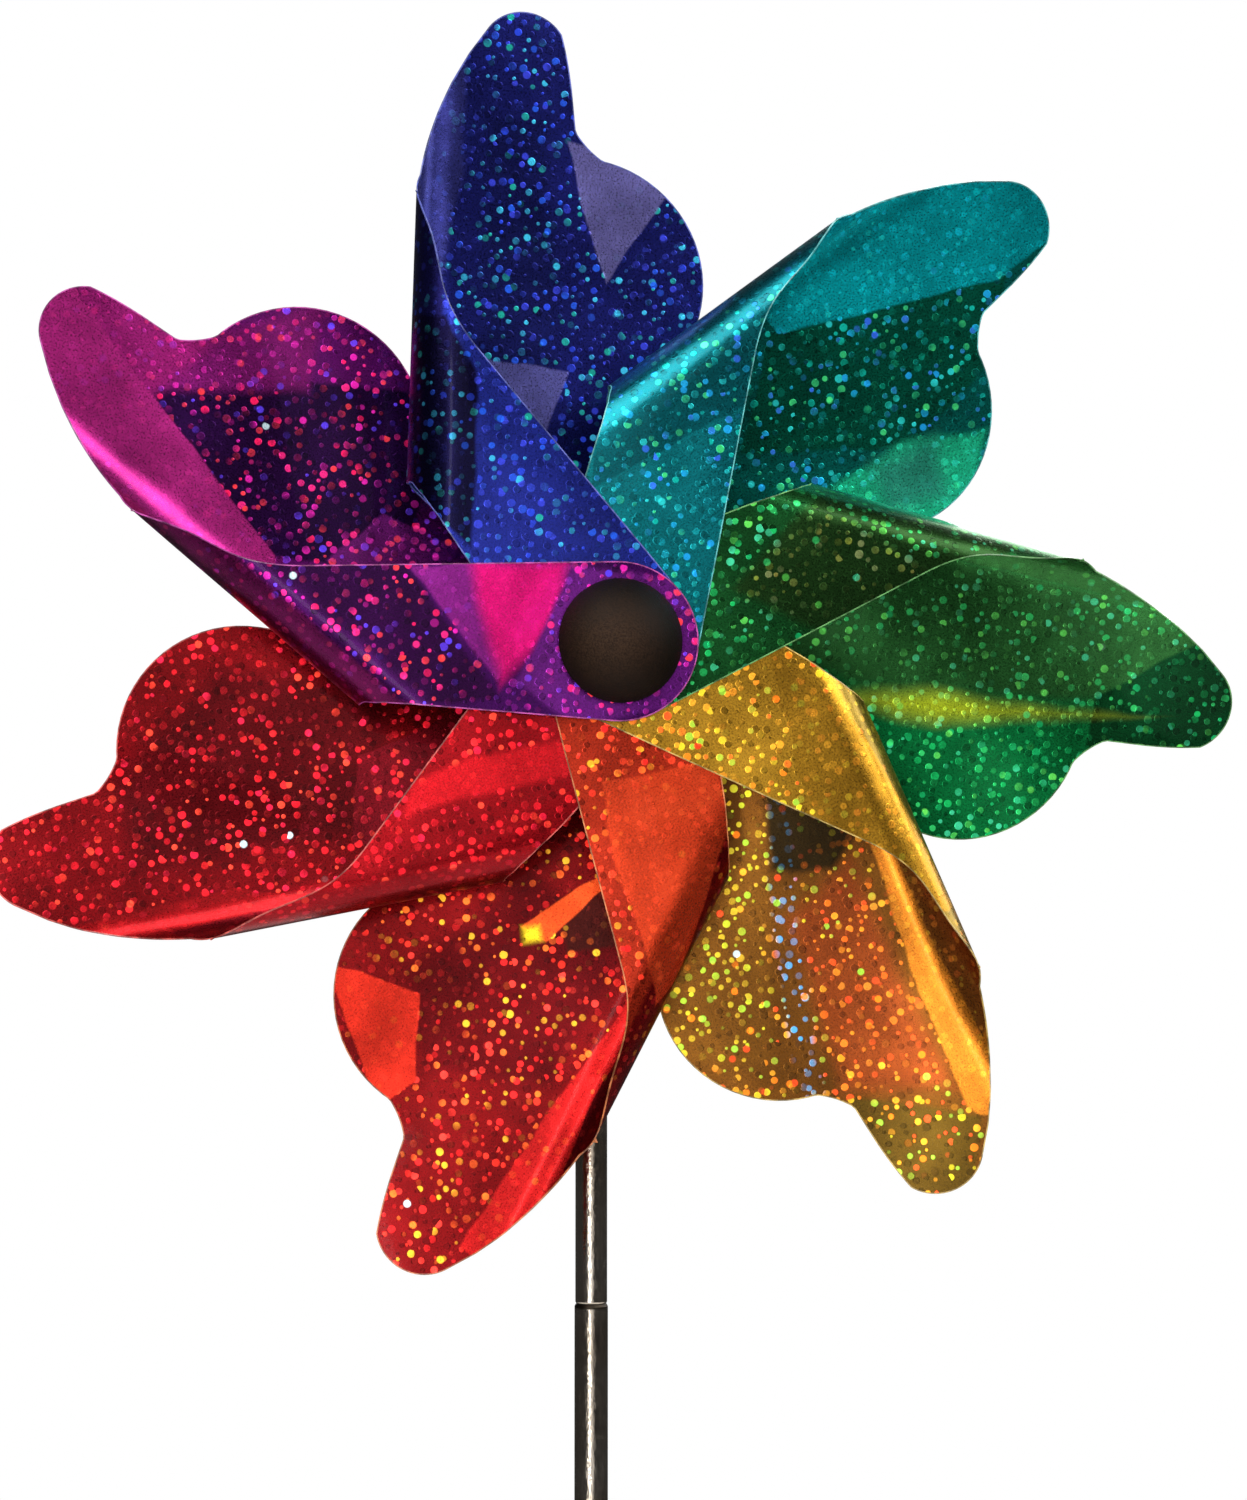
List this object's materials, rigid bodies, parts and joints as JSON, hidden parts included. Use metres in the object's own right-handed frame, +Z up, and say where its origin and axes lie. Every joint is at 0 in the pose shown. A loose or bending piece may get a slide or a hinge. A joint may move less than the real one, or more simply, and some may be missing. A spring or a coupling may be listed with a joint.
{
  "type": "pinwheel",
  "caption": "Garden pinwheel: curled holographic film petals on a domed hub that spins freely on a sectional ground pole.",
  "frame": {"origin": "lower end of the pole's round wall, on the pole's axis, where the pole enters the ground", "axes": "+Z up along the pole, -Y towards the front of the wheel along the axle, +X to the right seen from the front"},
  "size_m": [0.3088, 0.0745, 0.7881],
  "materials": {
    "film_magenta": "holographic metallised film, glossy",
    "film_blue": "holographic metallised film, glossy",
    "film_teal": "holographic metallised film, glossy",
    "film_green": "holographic metallised film, glossy",
    "film_gold": "holographic metallised film, glossy",
    "film_orange": "holographic metallised film, glossy",
    "film_red": "holographic metallised film, glossy",
    "hub_plastic": "gloss black moulded",
    "cap_rubber": "matte, finely grained",
    "bush_plastic": "natural acetal",
    "axle_steel": "zinc plated",
    "washer_nylon": "natural nylon",
    "head_plastic": "satin black moulded",
    "pole_chrome": "dark polished tube",
    "spike_steel": "dark ground steel"
  },
  "bodies": {
    "stand": {"axle": "axle_steel", "front_thrust_washer": "washer_nylon", "rear_thrust_washer": "washer_nylon", "pole_head": "head_plastic", "rear_washer": "axle_steel", "rear_nut": "axle_steel", "upper_pole": "pole_chrome", "middle_pole": "pole_chrome", "lower_pole": "pole_chrome", "ground_spike": "spike_steel"},
    "rotor": {"petal_magenta": "film_magenta", "petal_blue": "film_blue", "petal_teal": "film_teal", "petal_green": "film_green", "petal_gold": "film_gold", "petal_orange": "film_orange", "petal_red": "film_red", "hub_barrel": "hub_plastic", "front_flange": "hub_plastic", "tab_clamp_washer": "hub_plastic", "hub_cap": "cap_rubber", "back_plate": "hub_plastic", "root_studs": "hub_plastic", "back_retainer": "hub_plastic", "front_bush": "bush_plastic", "rear_bush": "bush_plastic"}
  },
  "joints": [
    {"name": "rotor_spin", "type": "hinge", "parent": "stand", "child": "rotor", "pos_m": [0, -0.03, 0.6], "axis": [0, 1, 0], "continuous": true}
  ]
}
